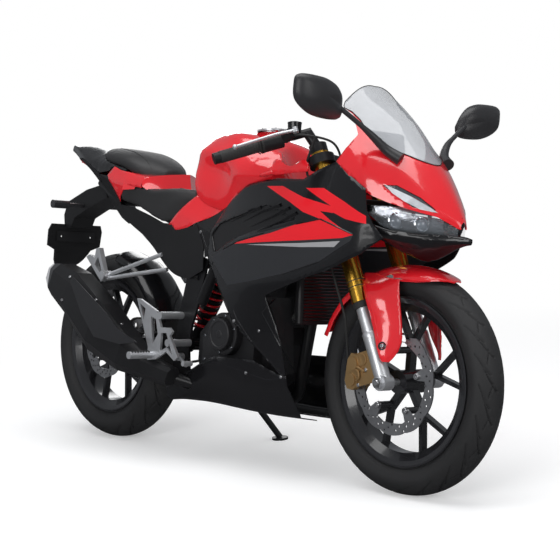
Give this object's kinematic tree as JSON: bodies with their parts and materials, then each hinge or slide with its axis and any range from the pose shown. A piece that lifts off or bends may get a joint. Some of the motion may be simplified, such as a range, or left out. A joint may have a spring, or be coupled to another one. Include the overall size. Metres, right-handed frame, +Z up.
{
  "type": "sport motorcycle",
  "caption": "Fully faired sport motorcycle on its side stand, with turning wheels, steering, folding stand and hinged filler cap.",
  "frame": {"origin": "on the ground, in the middle of the bounding box of the parked machine", "axes": "+X forward, +Y to the left of the machine, +Z up"},
  "size_m": [1.9783, 0.7828, 1.1009],
  "materials": {
    "black_gloss": "gloss black moulding",
    "black_panel": "satin black panel with red bands",
    "black_plastic": "matt black moulding",
    "bronze_caliper": "bronze coat",
    "cast_case": "dark cast finish",
    "clear_lens": "clear moulded lens",
    "frame_paint": "satin black paint",
    "gold_tube": "gold anodised",
    "mirror_shell": "matt black shell",
    "red_paint": "gloss red paint",
    "red_plastic": "gloss red panel",
    "rubber": "moulded rubber",
    "screen": "light grey screen",
    "seat_cover": "grained black cover",
    "silver": "bead blasted aluminium",
    "steel": "bright steel",
    "tail_lens": "dark red lens",
    "tyre": "road tyre",
    "wheel_paint": "gloss black paint"
  },
  "bodies": {
    "chassis": {"main_frame": "frame_paint", "seat_rails": "frame_paint", "engine": "cast_case", "engine_covers": "cast_case", "radiator": "frame_paint", "swingarm": "frame_paint", "rear_shock": "frame_paint", "drive_chain": "steel", "rear_hugger": "black_gloss", "fuel_tank": "red_paint", "rider_seat": "seat_cover", "pillion_seat": "seat_cover", "tail_cowls": "red_plastic", "tail_hump": "black_gloss", "tail_under_covers": "black_plastic", "rear_lamps": "tail_lens", "side_covers": "black_plastic", "tank_panels": "red_plastic", "side_fairings": "black_panel", "belly_pan": "black_panel", "upper_cowl": "red_plastic", "windscreen": "screen", "front_lamps": "clear_lens", "beak": "black_gloss", "dash": "black_plastic", "cowl_stay": "black_plastic", "mirrors": "mirror_shell", "exhaust_pipe": "frame_paint", "muffler": "frame_paint", "muffler_trim": "silver", "rear_mudguard": "black_plastic", "footrests": "silver", "rear_caliper": "bronze_caliper", "fairing_inserts": "black_plastic"},
    "steering": {"fork_clamps": "frame_paint", "fork_tubes": "gold_tube", "fork_legs": "silver", "handlebars": "frame_paint", "grips": "rubber", "bar_controls": "black_plastic", "levers": "silver", "front_fender": "red_plastic", "front_caliper": "bronze_caliper", "brake_hose": "rubber"},
    "front_wheel": {"front_tyre": "tyre", "front_rim": "wheel_paint", "front_disc": "steel"},
    "rear_wheel": {"rear_tyre": "tyre", "rear_rim": "wheel_paint", "rear_disc": "steel", "rear_sprocket": "steel"},
    "stand": {"side_stand": "frame_paint"},
    "fuel_cap": {"filler_cap": "silver"}
  },
  "joints": [
    {"name": "steering", "type": "hinge", "parent": "chassis", "child": "steering", "pos_m": [0.6596, -0.09905, 0.27822], "axis": [-0.4067, 0.1192, 0.9057], "range_deg": [-32, 32]},
    {"name": "front_wheel_spin", "type": "hinge", "parent": "steering", "child": "front_wheel", "pos_m": [0.6955, -0.09696, 0.29407], "axis": [0, 0.9914, -0.1305], "continuous": true},
    {"name": "rear_wheel_spin", "type": "hinge", "parent": "chassis", "child": "rear_wheel", "pos_m": [-0.6155, -0.09553, 0.30497], "axis": [0, 0.9914, -0.1305], "continuous": true},
    {"name": "side_stand_fold", "type": "hinge", "parent": "chassis", "child": "stand", "pos_m": [-0.1455, 0.02691, 0.19304], "axis": [0.1886, 0.8358, 0.5156], "range_deg": [0, 104.2]},
    {"name": "filler_cap_lid", "type": "hinge", "parent": "chassis", "child": "fuel_cap", "pos_m": [0.1555, -0.00751, 0.9735], "axis": [0, 0.9914, -0.1305], "range_deg": [0, 95]}
  ]
}
